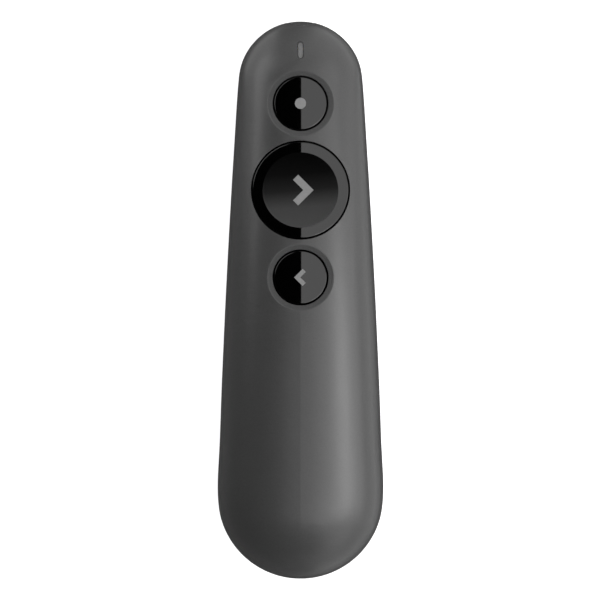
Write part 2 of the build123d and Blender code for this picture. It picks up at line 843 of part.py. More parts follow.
for name, place, size in (
    ("radio_chip", (chip_place[0], board_tail_y + chip_place[1]), chip_size),
    ("crystal", (crystal_place[0], board_tail_y + crystal_place[1]), crystal_size),
    ("status_led", (0, led_y), led_size),
):
    component = board_component(place, size)
    component.label = name
    export_step(component, f"parts/{name}.step")

# The light pipe stands on the diode and fills the slot in the nose, a little below the skin.
light_foot = board_top + led_size[2]
with BuildPart() as light_pipe:
    with BuildSketch(Plane.XY.offset(light_foot)):
        with Locations((0, light_y)):
            SlotOverall(light_length, light_width, rotation=90)
    extrude(amount=cut_top - light_foot)
    add(outer_form.moved(Location((0, 0, -light_recess))), mode=Mode.INTERSECT)
    with BuildSketch(Plane.XY.offset(light_foot)):
        with Locations((0, (led_y - led_size[0] / 2 + light_y) / 2)):
            Rectangle(light_bar_width, light_y - led_y + led_size[0] / 2)
    extrude(amount=light_bar_thickness)
light_pipe.part.label = "light_pipe"
export_step(light_pipe.part, "parts/light_pipe.step")

# === Laser module ================================================================================
laser_axis = Axis((0, 0, laser_height), (0, 1, 0))


def turned(profile):
    """Round piece about the laser's axis from (y, radius) points, closed along the axis."""
    points = [(y, laser_height + radius) for y, radius in profile]
    with BuildPart() as piece:
        with BuildSketch(Plane.YZ):
            with BuildLine():
                Polyline(*points, close=True)
            make_face()
        revolve(axis=laser_axis)
    return piece.part


with BuildPart() as laser_barrel:
    add(
        turned(
            (
                (barrel_tail_y, diode_flange_radius + lens_gap),
                (barrel_tail_y, barrel_radius),
                (barrel_nose_y, barrel_radius),
                (barrel_nose_y, lens_radius + lens_gap),
                (barrel_nose_y - lens_edge - lens_bulge, lens_radius + lens_gap),
                (barrel_nose_y - lens_edge - lens_bulge, barrel_bore_radius),
                (barrel_tail_y + diode_flange_thickness, barrel_bore_radius),
                (barrel_tail_y + diode_flange_thickness, diode_flange_radius + lens_gap),
            )
        )
    )
laser_barrel.part.label = "laser_barrel"
export_step(laser_barrel.part, "parts/laser_barrel.step")

lens_back = barrel_nose_y - lens_edge - lens_bulge
with BuildPart() as laser_lens:
    with BuildSketch(Plane.YZ):
        with BuildLine():
            Polyline(
                (lens_back + lens_edge, laser_height + lens_radius),
                (lens_back, laser_height + lens_radius),
                (lens_back, laser_height),
                (barrel_nose_y, laser_height),
            )
            RadiusArc(
                (barrel_nose_y, laser_height),
                (lens_back + lens_edge, laser_height + lens_radius),
                -(lens_radius**2 + lens_bulge**2) / (2 * lens_bulge),
            )
        make_face()
    revolve(axis=laser_axis)
laser_lens.part.label = "laser_lens"
export_step(laser_lens.part, "parts/laser_lens.step")

with BuildPart() as laser_diode:
    add(
        turned(
            (
                (barrel_tail_y, 0),
                (barrel_tail_y, diode_flange_radius),
                (barrel_tail_y + diode_flange_thickness, diode_flange_radius),
                (barrel_tail_y + diode_flange_thickness, diode_can_radius),
                (barrel_tail_y + diode_flange_thickness + diode_can_length, diode_can_radius),
                (barrel_tail_y + diode_flange_thickness + diode_can_length, 0),
            )
        )
    )
    # Its three legs turn up to the board.
    for x in (-diode_pin_spacing, 0, diode_pin_spacing):
        with BuildLine(Plane.YZ.offset(x)) as leg:
            FilletPolyline(
                (barrel_tail_y, laser_height),
                (barrel_tail_y - diode_leg_reach, laser_height),
                (barrel_tail_y - diode_leg_reach, board_bottom),
                radius=diode_leg_bend,
            )
        with BuildSketch(Plane(origin=leg.line @ 0, z_dir=leg.line % 0)):
            Circle(diode_pin_radius)
        sweep(path=leg.line)
laser_diode.part.label = "laser_diode"
export_step(laser_diode.part, "parts/laser_diode.step")

with BuildPart() as laser_window:
    with BuildSketch(across(nose_y)):
        with Locations((0, laser_height)):
            Circle(window_radius)
    extrude(amount=window_setback)
    add(outer_form.moved(Location((0, -window_recess, 0))), mode=Mode.INTERSECT)
    with BuildSketch(across(window_tail_y + window_flange_thickness)):
        with Locations((0, laser_height)):
            Circle(window_flange_radius)
    extrude(amount=window_flange_thickness)
laser_window.part.label = "laser_window"
export_step(laser_window.part, "parts/laser_window.step")

# === Battery, its spring and its contacts ========================================================
with BuildPart() as battery_cell:
    with BuildSketch(Plane.YZ):
        with BuildLine():
            Polyline(
                (cell_tail_y, cell_height),
                (cell_tail_y, cell_height + cell_radius),
                (cell_tail_y + cell_length - cell_nub_height, cell_height + cell_radius),
                (cell_tail_y + cell_length - cell_nub_height, cell_height + cell_nub_radius),
                (cell_tail_y + cell_length, cell_height + cell_nub_radius),
                (cell_tail_y + cell_length, cell_height),
                close=True,
            )
        make_face()
    revolve(axis=Axis((0, 0, cell_height), (0, 1, 0)))
    fillet(battery_cell.edges().filter_by(GeomType.CIRCLE).group_by(SortBy.RADIUS)[-1], cell_edge)
battery_cell.part.label = "battery_cell"
export_step(battery_cell.part, "parts/battery_cell.step")


def contact_plate(y):
    """Plate against an end wall of the bay, with a tab that reaches up to the board."""
    plate_top = cell_height + contact_rise
    with BuildPart() as plate:
        with BuildSketch(across(y + contact_thickness)):
            with Locations((0, (ledge_top + plate_top) / 2)):
                Rectangle(contact_width, plate_top - ledge_top)
            with Locations((0, (cell_height + board_bottom) / 2)):
                Rectangle(contact_tab_width, board_bottom - cell_height)
        extrude(amount=contact_thickness)
    return plate.part


with BuildPart() as positive_contact:
    add(contact_plate(bay_nose_y - contact_thickness))
    with BuildSketch(across(bay_nose_y - contact_thickness)):
        with Locations((0, cell_height)):
            Circle(contact_dimple_radius)
    extrude(amount=contact_dimple, taper=contact_dimple_taper)
positive_contact.part.label = "positive_contact"
export_step(positive_contact.part, "parts/positive_contact.step")

with BuildPart() as negative_contact:
    add(contact_plate(bay_tail_y))
negative_contact.part.label = "negative_contact"
export_step(negative_contact.part, "parts/negative_contact.step")


def on_spring(turn):
    """Centre of the spring's wire after so many turns. The coil narrows towards the cell."""
    share = turn / spring_turns
    radius = spring_base_radius + (spring_tip_radius - spring_base_radius) * share
    coil_radius = radius - spring_wire_radius
    rise = spring_wire_radius + (spring_length - 2 * spring_wire_radius) * share
    return Vector(
        coil_radius * cos(2 * pi * turn),
        bay_tail_y + contact_thickness + rise,
        cell_height + coil_radius * sin(2 * pi * turn),
    )


with BuildPart() as negative_spring:
    with BuildLine() as coil:
        heading = Vector(
            (spring_tip_radius - spring_base_radius) / spring_turns,
            (spring_length - 2 * spring_wire_radius) / spring_turns,
            2 * pi * (spring_base_radius - spring_wire_radius),
        )
        for step in range(spring_turns * spring_turn_arcs):
            ends = [on_spring(i / spring_turn_arcs) for i in (step, step + 1)]
            heading = TangentArc(*ends, tangent=heading) % 1
    with BuildSketch(Plane(origin=coil.line @ 0, z_dir=coil.line % 0)):
        Circle(spring_wire_radius)
    sweep(path=coil.line)
negative_spring.part.label = "negative_spring"
export_step(negative_spring.part, "parts/negative_spring.step")

lead_height = board_bottom - lead_radius
with BuildPart() as negative_lead:
    with BuildLine(Plane.XY.offset(lead_height)) as route:
        FilletPolyline(
            (0, bay_tail_y + contact_thickness),
            (0, bay_tail_y + lead_bend),
            (lead_offset, bay_tail_y + 2 * lead_bend),
            (lead_offset, board_tail_y + lead_overlap),
            radius=lead_bend / 2,
        )
    with BuildSketch(Plane(origin=route.line @ 0, z_dir=route.line % 0)):
        Circle(lead_radius)
    sweep(path=route.line)
negative_lead.part.label = "negative_lead"
export_step(negative_lead.part, "parts/negative_lead.step")


# === Screws ======================================================================================
def screws(places, seat, head_radius, head_height, shank_radius, length):
    """Pan-head screws that point up from their seats, with a cross in each head."""
    with BuildPart() as group:
        with BuildSketch(Plane.XY.offset(seat - head_height)):
            with Locations(*places):
                Circle(head_radius)
        extrude(amount=head_height)
        with BuildSketch(Plane.XY.offset(seat)):
            with Locations(*places):
                Circle(shank_radius)
        extrude(amount=length)
        with BuildSketch(Plane.XY.offset(seat - head_height)):
            with Locations(*places):
                Rectangle(cross_length, cross_width)
                Rectangle(cross_width, cross_length)
        extrude(amount=cross_depth, mode=Mode.SUBTRACT)
    return group.part


board_screws = screws(
    board_screw_places,
    board_bottom,
    board_screw_head_radius,
    board_screw_head_height,
    board_screw_radius,
    board_screw_length,
)
board_screws.label = "board_screws"
export_step(board_screws, "parts/board_screws.step")

housing_screws = screws(
    housing_screw_places,
    screw_seat,
    screw_head_radius,
    screw_head_height,
    screw_shank_radius,
    screw_length,
)
housing_screws.label = "housing_screws"
export_step(housing_screws, "parts/housing_screws.step")

# === USB receiver ================================================================================
with BuildPart() as receiver_cap:
    with BuildSketch(across(receiver_step_y)):
        with Locations((0, receiver_height)):
            RectangleRounded(*receiver_cap_size, receiver_cap_corner)
    extrude(amount=receiver_cap_length)
    add(outer_form, mode=Mode.INTERSECT)
    # Groove for a fingernail
    with BuildSketch(across(tail_y + grip_notch_depth)):
        with Locations((0, receiver_height + grip_notch_rise)):
            Rectangle(receiver_cap_size[0], grip_notch_height)
    extrude(amount=grip_notch_depth + past, mode=Mode.SUBTRACT)
receiver_cap.part.label = "receiver_cap"
export_step(receiver_cap.part, "parts/receiver_cap.step")

plug_inner = tuple(size - 2 * plug_wall for size in plug_size)
with BuildPart() as receiver_shell:
    with BuildSketch(across(receiver_nose_y)):
        with Locations((0, receiver_height)):
            RectangleRounded(*plug_size, plug_corner)
            RectangleRounded(*plug_inner, plug_corner / 2, mode=Mode.SUBTRACT)
    extrude(amount=plug_length)
    # Latch windows above and below
    with BuildSketch(Plane.XY.offset(receiver_height - plug_size[1])):
        with Locations((0, receiver_nose_y - plug_window_reach)):
            with GridLocations(plug_window_pitch, 1, 2, 1):
                Rectangle(plug_window, plug_window)
    extrude(amount=2 * plug_size[1], mode=Mode.SUBTRACT)
receiver_shell.part.label = "receiver_shell"
export_step(receiver_shell.part, "parts/receiver_shell.step")

tongue_bottom = receiver_height - plug_inner[1] / 2
tongue_top = tongue_bottom + tongue_size[1]
with BuildPart() as receiver_tongue:
    with BuildSketch(across(receiver_nose_y - tongue_setback)):
        with Locations((0, tongue_bottom + tongue_size[1] / 2)):
            Rectangle(*tongue_size)
    extrude(amount=plug_length - tongue_setback)
receiver_tongue.part.label = "receiver_tongue"
export_step(receiver_tongue.part, "parts/receiver_tongue.step")

with BuildPart() as receiver_contacts:
    strip_y = receiver_nose_y - 2 * tongue_setback - contact_strip_length / 2
    with BuildSketch(Plane.XY.offset(tongue_top)):
        with Locations((0, strip_y)):
            with GridLocations(contact_strip_pitch, 1, 4, 1):
                Rectangle(contact_strip_width, contact_strip_length)
    extrude(amount=contact_strip_thickness)
receiver_contacts.part.label = "receiver_contacts"
export_step(receiver_contacts.part, "parts/receiver_contacts.step")
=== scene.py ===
"""Wireless presentation clicker: finishes, printed key marks, and a small product stage.

Everything is in metres in the clicker's own frame: +Y towards the nose where the laser leaves,
+Z up through the keys, and the origin on the table under the middle of the body.
"""

import math

import bmesh
import bpy
from bpy.props import FloatProperty, FloatVectorProperty, PointerProperty
from mathutils import Matrix, Vector
from mathutils.bvhtree import BVHTree


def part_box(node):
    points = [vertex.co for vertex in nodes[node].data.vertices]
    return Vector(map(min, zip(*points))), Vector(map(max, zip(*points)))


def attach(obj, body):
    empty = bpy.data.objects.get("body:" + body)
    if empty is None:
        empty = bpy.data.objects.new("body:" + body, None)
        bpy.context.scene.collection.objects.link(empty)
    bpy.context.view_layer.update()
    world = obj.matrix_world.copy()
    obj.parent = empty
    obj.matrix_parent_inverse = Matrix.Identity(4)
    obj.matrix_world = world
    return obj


bl_info = {
    "name": "Presentation Clicker",
    "version": (1, 0, 0),
    "blender": (4, 5, 0),
    "location": "View3D > Sidebar > Clicker",
    "description": "Finishes, printed key marks and a product stage for a presentation clicker",
    "category": "Object",
}

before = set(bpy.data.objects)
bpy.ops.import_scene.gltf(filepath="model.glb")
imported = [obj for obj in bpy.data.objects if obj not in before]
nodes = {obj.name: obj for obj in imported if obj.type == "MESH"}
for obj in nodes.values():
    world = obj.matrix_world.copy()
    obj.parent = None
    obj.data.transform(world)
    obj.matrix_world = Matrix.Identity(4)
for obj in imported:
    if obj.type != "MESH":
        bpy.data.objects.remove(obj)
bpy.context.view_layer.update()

MM = 0.001


def linear(hex_colour):
    """Linear colour from an sRGB hex value."""
    shares = [int(hex_colour[i : i + 2], 16) / 255 for i in (0, 2, 4)]
    return tuple(s / 12.92 if s <= 0.04045 else ((s + 0.055) / 1.055) ** 2.4 for s in shares)


def middle(node):
    """Middle of a CAD node's box."""
    low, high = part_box(node)
    return (low + high) / 2


# --- Materials -----------------------------------------------------------------------------------
def add_node(tree, kind, inputs=None, **settings):
    """Add one node, set its properties, and link or set its inputs by name or number.

    A map range takes its old ends as inputs 1 and 2 and its new ends as 3 and 4, and a mix of
    floats takes its share as input 0 and its two values as 2 and 3.
    """
    made = tree.nodes.new(kind)
    for name, value in settings.items():
        setattr(made, name, value)
    for key, value in (inputs or {}).items():
        socket = made.inputs[key]
        if isinstance(value, bpy.types.NodeSocket):
            tree.links.new(value, socket)
        else:
            socket.default_value = value
    return made


def new_material(name, **sockets):
    """Make a material, and return it, its tree, its one shader and the piece's coordinates."""
    material = bpy.data.materials.new(name)
    material.use_nodes = True
    tree = material.node_tree
    tree.nodes.clear()
    shader = add_node(
        tree, "ShaderNodeBsdfPrincipled", {k.replace("_", " "): v for k, v in sockets.items()}
    )
    add_node(tree, "ShaderNodeOutputMaterial", {"Surface": shader.outputs[0]})
    place = add_node(tree, "ShaderNodeTexCoord").outputs["Object"]
    return material, tree, shader, place


def shades(tree, factor, stops):
    """Colour ramp through stops of a position and a colour, sRGB hex or already linear."""
    ramp = add_node(tree, "ShaderNodeValToRGB", {"Fac": factor})
    elements = ramp.color_ramp.elements
    while len(elements) < len(stops):
        elements.new(0.5)
    for element, (position, colour) in zip(elements, stops):
        element.position = position
        element.color = (*(linear(colour) if isinstance(colour, str) else colour), 1)
    return ramp.outputs["Color"]


def per_mm(size):
    """Texture scale whose features are about this many millimetres."""
    return 1 / (size * MM)


def toned(colour, share):
    """Linear colour made darker or lighter by a share."""
    return tuple(channel * share for channel in colour)


# The moulding's flow clouds: their size in mm, and how far they move the roughness either way.
# A render's denoiser draws their outlines where the roughness drops below about 0.28.
FLOW_SIZE = 16
FLOW_SHEEN = 0.025
# The duller land round a small key, and where its finish fades, measured from its radius.
LAND_ROUGHNESS = 0.85
LAND_FADE = (-0.3 * MM, 0.2 * MM)


def spark_eroded_abs(name, colour, grain, roughness, depth, lands=()):
    """ABS from a spark-eroded mould: even satin with a faint grain, and flow clouds in its sheen.

    The real grain is about 0.1 mm. It is drawn coarser so that it shows at arm's length. Grain
    and depth are in mm. Each land is a round rim, given by its centre and radius, that the mould
    leaves duller.
    """
    material, tree, shader, place = new_material(name, IOR=1.53)
    pits = add_node(
        tree, "ShaderNodeTexNoise", {"Vector": place, "Scale": per_mm(grain), "Detail": 3.0}
    ).outputs["Fac"]
    clouds = add_node(
        tree, "ShaderNodeTexNoise", {"Vector": place, "Scale": per_mm(FLOW_SIZE), "Detail": 2.0}
    ).outputs["Fac"]
    tint = shades(tree, pits, ((0.25, toned(colour, 0.86)), (0.75, toned(colour, 1.14))))
    tree.links.new(tint, shader.inputs["Base Color"])
    sheen = add_node(
        tree,
        "ShaderNodeMapRange",
        {"Value": clouds, 1: 0.2, 2: 0.8, 3: roughness - FLOW_SHEEN, 4: roughness + FLOW_SHEEN},
    ).outputs[0]
    from_above = add_node(
        tree, "ShaderNodeVectorMath", {0: place, 1: (1, 1, 0)}, operation="MULTIPLY"
    ).outputs[0]
    for centre, radius in lands:
        away = add_node(
            tree, "ShaderNodeVectorMath", {0: from_above, 1: centre}, operation="DISTANCE"
        ).outputs["Value"]
        dull = add_node(
            tree,
            "ShaderNodeMapRange",
            {"Value": away, 1: radius + LAND_FADE[0], 2: radius + LAND_FADE[1], 3: 1.0, 4: 0.0},
        ).outputs[0]
        sheen = add_node(
            tree, "ShaderNodeMix", {0: dull, 2: sheen, 3: LAND_ROUGHNESS}, data_type="FLOAT"
        ).outputs[0]
    tree.links.new(sheen, shader.inputs["Roughness"])
    relief = add_node(tree, "ShaderNodeBump", {"Height": pits, "Distance": depth * MM})
    tree.links.new(relief.outputs[0], shader.inputs["Normal"])
    return material


# The dull flange round the foot of a key, and how far above it the polish has come in fully.
FLANGE_ROUGHNESS = 0.9
FLANGE_FADE = 0.2 * MM


def polished_abs(name, colour, roughness, dull_below):
    """ABS from a mould polished on top: piano black that mirrors the room, with faint hairlines.

    Only the top is polished. Below the given height the mould leaves the flange dull, so that the
    gap round the key stays black.
    """
    material, tree, shader, place = new_material(name, IOR=1.5)
    stretched = add_node(
        tree,
        "ShaderNodeMapping",
        {"Vector": place, "Rotation": (0, 0, 0.5), "Scale": (1.0, 0.04, 1.0)},
    ).outputs[0]
    hairlines = add_node(
        tree, "ShaderNodeTexNoise", {"Vector": stretched, "Scale": per_mm(0.12), "Detail": 1.0}
    ).outputs["Fac"]
    tint = shades(tree, hairlines, ((0.3, colour), (0.8, toned(colour, 1.5))))
    tree.links.new(tint, shader.inputs["Base Color"])
    wiped = add_node(
        tree,
        "ShaderNodeMapRange",
        {"Value": hairlines, 1: 0.45, 2: 0.8, 3: roughness, 4: roughness + 0.02},
    ).outputs[0]
    height = add_node(tree, "ShaderNodeSeparateXYZ", {"Vector": place}).outputs["Z"]
    dull = add_node(
        tree,
        "ShaderNodeMapRange",
        {"Value": height, 1: dull_below, 2: dull_below + FLANGE_FADE, 3: 1.0, 4: 0.0},
    ).outputs[0]
    sheen = add_node(
        tree, "ShaderNodeMix", {0: dull, 2: wiped, 3: FLANGE_ROUGHNESS}, data_type="FLOAT"
    )
    tree.links.new(sheen.outputs[0], shader.inputs["Roughness"])
    return material


# How far the speckle moves the dish's painted shade, as a share of the way across the dish.
SPECKLE_SHARE = 0.03


def soft_touch_lacquer(name, centre, radius, turn, painted_shade_tones):
    """Sprayed rubbery lacquer in the dish: dry, almost without gloss, with painted light in its
    colour.

    Its tones run across the dish from its tail side to its nose side, turned by a few degrees: the
    lighter tail side is a painted reflection, and the black nose side is painted shade.
    A fine speckle carries each tone a small share of the way into the next.
    """
    material, tree, shader, place = new_material(name, IOR=1.46, Specular_IOR_Level=0.02)
    # A texture mapping moves the pattern's origin first to the dish, then turns it.
    across = add_node(
        tree,
        "ShaderNodeMapping",
        {"Vector": place, "Location": centre, "Rotation": (0, 0, turn)},
        vector_type="TEXTURE",
    ).outputs[0]
    along = add_node(tree, "ShaderNodeSeparateXYZ", {"Vector": across}).outputs["Y"]
    speckle = add_node(
        tree, "ShaderNodeTexNoise", {"Vector": place, "Scale": per_mm(0.4), "Detail": 2.0}
    ).outputs["Fac"]
    least = -SPECKLE_SHARE / 2
    share = add_node(
        tree, "ShaderNodeMapRange", {"Value": along, 1: -radius, 2: radius, 3: least, 4: least + 1}
    ).outputs[0]
    # The colour's fade across the dish is a painted reflection on the tail side and painted shade
    # on the nose side.
    painted_shade = add_node(
        tree, "ShaderNodeMath", {0: speckle, 1: SPECKLE_SHARE, 2: share}, operation="MULTIPLY_ADD"
    ).outputs[0]
    tree.links.new(shades(tree, painted_shade, painted_shade_tones), shader.inputs["Base Color"])
    dry = add_node(tree, "ShaderNodeMapRange", {"Value": speckle, 3: 0.5, 4: 0.6})
    tree.links.new(dry.outputs[0], shader.inputs["Roughness"])
    relief = add_node(tree, "ShaderNodeBump", {"Height": speckle, "Distance": 0.002 * MM})
    tree.links.new(relief.outputs[0], shader.inputs["Normal"])
    return material


def printed_ink(name, colour):
    """Pad-printed ink: flat and dry, a little uneven where the pad left more or less of it."""
    material, tree, shader, place = new_material(name, IOR=1.45)
    film = add_node(
        tree, "ShaderNodeTexNoise", {"Vector": place, "Scale": per_mm(0.5), "Detail": 3.0}
    ).outputs["Fac"]
    tint = shades(tree, film, ((0.3, toned(colour, 0.95)), (0.7, toned(colour, 1.05))))
    tree.links.new(tint, shader.inputs["Base Color"])
    dry = add_node(tree, "ShaderNodeMapRange", {"Value": film, 3: 0.5, 4: 0.62})
    tree.links.new(dry.outputs[0], shader.inputs["Roughness"])
    return material


def moulded_plastic(name, colour, grain, roughness, **sockets):
    """Plain moulded plastic: one tone with a grain in mm in its colour and its sheen."""
    material, tree, shader, place = new_material(name, **sockets)
    grains = add_node(
        tree, "ShaderNodeTexNoise", {"Vector": place, "Scale": per_mm(grain), "Detail": 3.0}
    ).outputs["Fac"]
    tint = shades(tree, grains, ((0.25, toned(colour, 0.9)), (0.75, toned(colour, 1.1))))
    tree.links.new(tint, shader.inputs["Base Color"])
    sheen = add_node(
        tree,
        "ShaderNodeMapRange",
        {"Value": grains, 1: 0.2, 2: 0.8, 3: roughness - 0.05, 4: roughness + 0.05},
    )
    tree.links.new(sheen.outputs[0], shader.inputs["Roughness"])
    return material


def drawn_metal(name, colours, along, line, roughness, depth):
    """Metal with lines left by its tool or its rolling along one axis, their width in mm."""
    material, tree, shader, place = new_material(name, Metallic=1.0)
    stretch = tuple(0.03 if axis == along else 1.0 for axis in "XYZ")
    lines_place = add_node(
        tree, "ShaderNodeMapping", {"Vector": place, "Scale": stretch}
    ).outputs[0]
    lines = add_node(
        tree, "ShaderNodeTexNoise", {"Vector": lines_place, "Scale": per_mm(line), "Detail": 4.0}
    ).outputs["Fac"]
    tint = shades(tree, lines, ((0.3, colours[0]), (0.7, colours[1])))
    tree.links.new(tint, shader.inputs["Base Color"])
    sheen = add_node(
        tree,
        "ShaderNodeMapRange",
        {"Value": lines, 1: 0.3, 2: 0.7, 3: roughness - 0.06, 4: roughness + 0.06},
    )
    tree.links.new(sheen.outputs[0], shader.inputs["Roughness"])
    relief = add_node(tree, "ShaderNodeBump", {"Height": lines, "Distance": depth * MM})
    tree.links.new(relief.outputs[0], shader.inputs["Normal"])
    return material


def turned_brass(name):
    """Brass turned on a lathe: rings about its axis, slightly tarnished between them."""
    material, tree, shader, place = new_material(name, Metallic=1.0)
    # The wave takes the sine of 20 times its coordinate, which puts its rings 1.6 mm apart.
    rings = add_node(
        tree,
        "ShaderNodeTexWave",
        {"Vector": place, "Scale": per_mm(0.25) / 20, "Distortion": 0.4, "Detail": 2.0},
        bands_direction="Y",
    ).outputs["Fac"]
    tint = shades(tree, rings, ((0.2, "b58a3c"), (0.8, "d9b25f")))
    tree.links.new(tint, shader.inputs["Base Color"])
    sheen = add_node(tree, "ShaderNodeMapRange", {"Value": rings, 3: 0.22, 4: 0.34})
    tree.links.new(sheen.outputs[0], shader.inputs["Roughness"])
    return material


def masked_laminate(name):
    """Glass-epoxy board under dark green solder mask, with its tracks as a raised, lighter net."""
    material, tree, shader, place = new_material(name, IOR=1.5)
    # A brick is half a unit wide, which makes the net's meshes 3.2 mm wide.
    tracks = add_node(
        tree,
        "ShaderNodeTexBrick",
        {
            "Vector": place,
            "Scale": per_mm(3.2) * 0.5,
            "Mortar Size": 0.06,
            "Mortar Smooth": 0.3,
            "Color1": (0, 0, 0, 1),
            "Color2": (0, 0, 0, 1),
            "Mortar": (1, 1, 1, 1),
        },
    ).outputs["Color"]
    tint = shades(tree, tracks, ((0.0, "10201a"), (1.0, "1f3d31")))
    tree.links.new(tint, shader.inputs["Base Color"])
    weave = add_node(
        tree, "ShaderNodeTexNoise", {"Vector": place, "Scale": per_mm(0.4), "Detail": 2.0}
    ).outputs["Fac"]
    sheen = add_node(tree, "ShaderNodeMapRange", {"Value": weave, 3: 0.3, 4: 0.42})
    tree.links.new(sheen.outputs[0], shader.inputs["Roughness"])
    relief = add_node(tree, "ShaderNodeBump", {"Height": tracks, "Distance": 0.03 * MM})
    tree.links.new(relief.outputs[0], shader.inputs["Normal"])
    return material


def printed_sleeve(name, ends):
    """Shrink sleeve of a dry cell, printed in two plain tones, with bare metal at both ends.

    The ends are where the cell starts and ends, and each stop is a share of the way between them.
    """
    material, tree, shader, place = new_material(name, Coat_Weight=0.25, Coat_Roughness=0.08)
    along = add_node(tree, "ShaderNodeSeparateXYZ", {"Vector": place}).outputs["Y"]
    tail, nose = ends
    share = add_node(
        tree, "ShaderNodeMapRange", {"Value": along, 1: tail, 2: nose}
    ).outputs[0]
    tint = shades(
        tree,
        share,
        (
            (0.0, "b9bbbd"),
            (0.012, "2b2d30"),
            (0.70, "2b2d30"),
            (0.705, "c8cacc"),
            (0.72, "c8cacc"),
            (0.725, "8d9297"),
            (0.962, "8d9297"),
            (0.968, "b9bbbd"),
        ),
    )
    tree.links.new(tint, shader.inputs["Base Color"])
    metal = shades(
        tree,
        share,
        ((0.0, "ffffff"), (0.012, "000000"), (0.962, "000000"), (0.968, "ffffff")),
    )
    tree.links.new(metal, shader.inputs["Metallic"])
    wrinkles = add_node(
        tree, "ShaderNodeTexNoise", {"Vector": place, "Scale": per_mm(3.0), "Detail": 2.0}
    ).outputs["Fac"]
    sheen = add_node(tree, "ShaderNodeMapRange", {"Value": wrinkles, 3: 0.24, 4: 0.36})
    tree.links.new(sheen.outputs[0], shader.inputs["Roughness"])
    relief = add_node(tree, "ShaderNodeBump", {"Height": wrinkles, "Distance": 0.02 * MM})
    tree.links.new(relief.outputs[0], shader.inputs["Normal"])
    return material


def clear_plastic(name, colour, roughness, haze):
    """Clear moulding that passes light, with a faint haze in clouds of a size in mm."""
    material, tree, shader, place = new_material(name, IOR=1.58, Transmission_Weight=0.85)
    cloud = add_node(
        tree, "ShaderNodeTexNoise", {"Vector": place, "Scale": per_mm(haze), "Detail": 2.0}
    ).outputs["Fac"]
    tint = shades(tree, cloud, ((0.3, toned(colour, 0.9)), (0.7, toned(colour, 1.1))))
    tree.links.new(tint, shader.inputs["Base Color"])
    sheen = add_node(
        tree, "ShaderNodeMapRange", {"Value": cloud, 3: roughness, 4: roughness * 1.6}
    )
    tree.links.new(sheen.outputs[0], shader.inputs["Roughness"])
    return material


def dress(material, slot, *names):
    """Give CAD nodes this material; the slot is not used."""
    for name in names:
        node = nodes[name]
        node.data.materials.clear()
        node.data.materials.append(material)


# --- Pieces --------------------------------------------------------------------------------------
# Films are dropped from well over the keys, and shaded smooth up to a crease of this angle.
DROP_HEIGHT = 0.1
EVENING_PASSES = 6
CREASE = math.radians(40)


def print_on(name, bm, node, body, rise, material):
    """Drop a flat shape on a CAD node and make it a thin closed film that rides with the node.

    It stands proud by its rise and reaches as far below the surface, so that it seals all round.
    The node's facets are evened out of it before it gets its lower side.
    """
    skin = BVHTree.FromObject(nodes[node], bpy.context.evaluated_depsgraph_get())
    for vert in bm.verts:
        above = Vector((vert.co.x, vert.co.y, DROP_HEIGHT))
        hit = skin.ray_cast(above, Vector((0, 0, -1)))[0]
        if hit is None:
            raise RuntimeError(f"{name} reaches past {node}")
        vert.co.z = hit.z + rise
    inner = [vert for vert in bm.verts if not vert.is_boundary]
    for _ in range(EVENING_PASSES):
        bmesh.ops.smooth_vert(bm, verts=inner, factor=0.5, use_axis_z=True)
    bmesh.ops.recalc_face_normals(bm, faces=bm.faces)
    film = bmesh.ops.extrude_face_region(bm, geom=list(bm.faces), use_keep_orig=True)
    lower = [v for v in film["geom"] if isinstance(v, bmesh.types.BMVert)]
    bmesh.ops.translate(bm, verts=lower, vec=(0, 0, -2 * rise))
    bmesh.ops.recalc_face_normals(bm, faces=bm.faces)
    mesh = bpy.data.meshes.new(name)
    bm.to_mesh(mesh)
    bm.free()
    mesh.shade_smooth()
    mesh.set_sharp_from_angle(angle=CREASE)
    mesh.materials.append(material)
    piece = bpy.data.objects.new(name, mesh)
    bpy.context.scene.collection.objects.link(piece)
    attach(piece, body)


def disc(centre, radius, rings, steps):
    """Flat round disc, spun from a spoke."""
    bm = bmesh.new()
    spoke = [bm.verts.new((radius * i / rings, 0, 0)) for i in range(rings + 1)]
    edges = [bm.edges.new(pair) for pair in zip(spoke, spoke[1:])]
    bmesh.ops.spin(
        bm, geom=spoke + edges, cent=(0, 0, 0), axis=(0, 0, 1), angle=2 * math.pi, steps=steps,
        use_merge=True,
    )
    bmesh.ops.remove_doubles(bm, verts=bm.verts, dist=1e-6)
    bmesh.ops.translate(bm, verts=bm.verts, vec=centre)
    return bm


def chevron(tip, reach, spread, stroke):
    """Flat angle bracket: two square-ended arms that run back from the tip and meet in a mitre."""
    bm = bmesh.new()
    length = math.hypot(reach, spread)
    bmesh.ops.create_grid(bm, x_segments=14, y_segments=3, size=0.5)
    # The arm is longer than its centre line, so that the cut along the mitre leaves it pointed.
    bmesh.ops.scale(bm, verts=bm.verts, vec=(length + stroke, stroke, 1))
    bmesh.ops.translate(bm, verts=bm.verts, vec=((length - stroke) / 2, 0, 0))
    turn = Matrix.Rotation(math.atan2(spread, reach), 4, "Z")
    bmesh.ops.transform(bm, matrix=turn, verts=bm.verts)
    bmesh.ops.bisect_plane(
        bm,
        geom=list(bm.verts) + list(bm.edges) + list(bm.faces),
        plane_co=(0, 0, 0),
        plane_no=(0, -1, 0),
        clear_outer=True,
        dist=1e-7,
    )
    bmesh.ops.mirror(
        bm,
        geom=list(bm.verts) + list(bm.edges) + list(bm.faces),
        axis="Y",
        merge_dist=1e-6,
    )
    bmesh.ops.translate(bm, verts=bm.verts, vec=tip)
    return bm


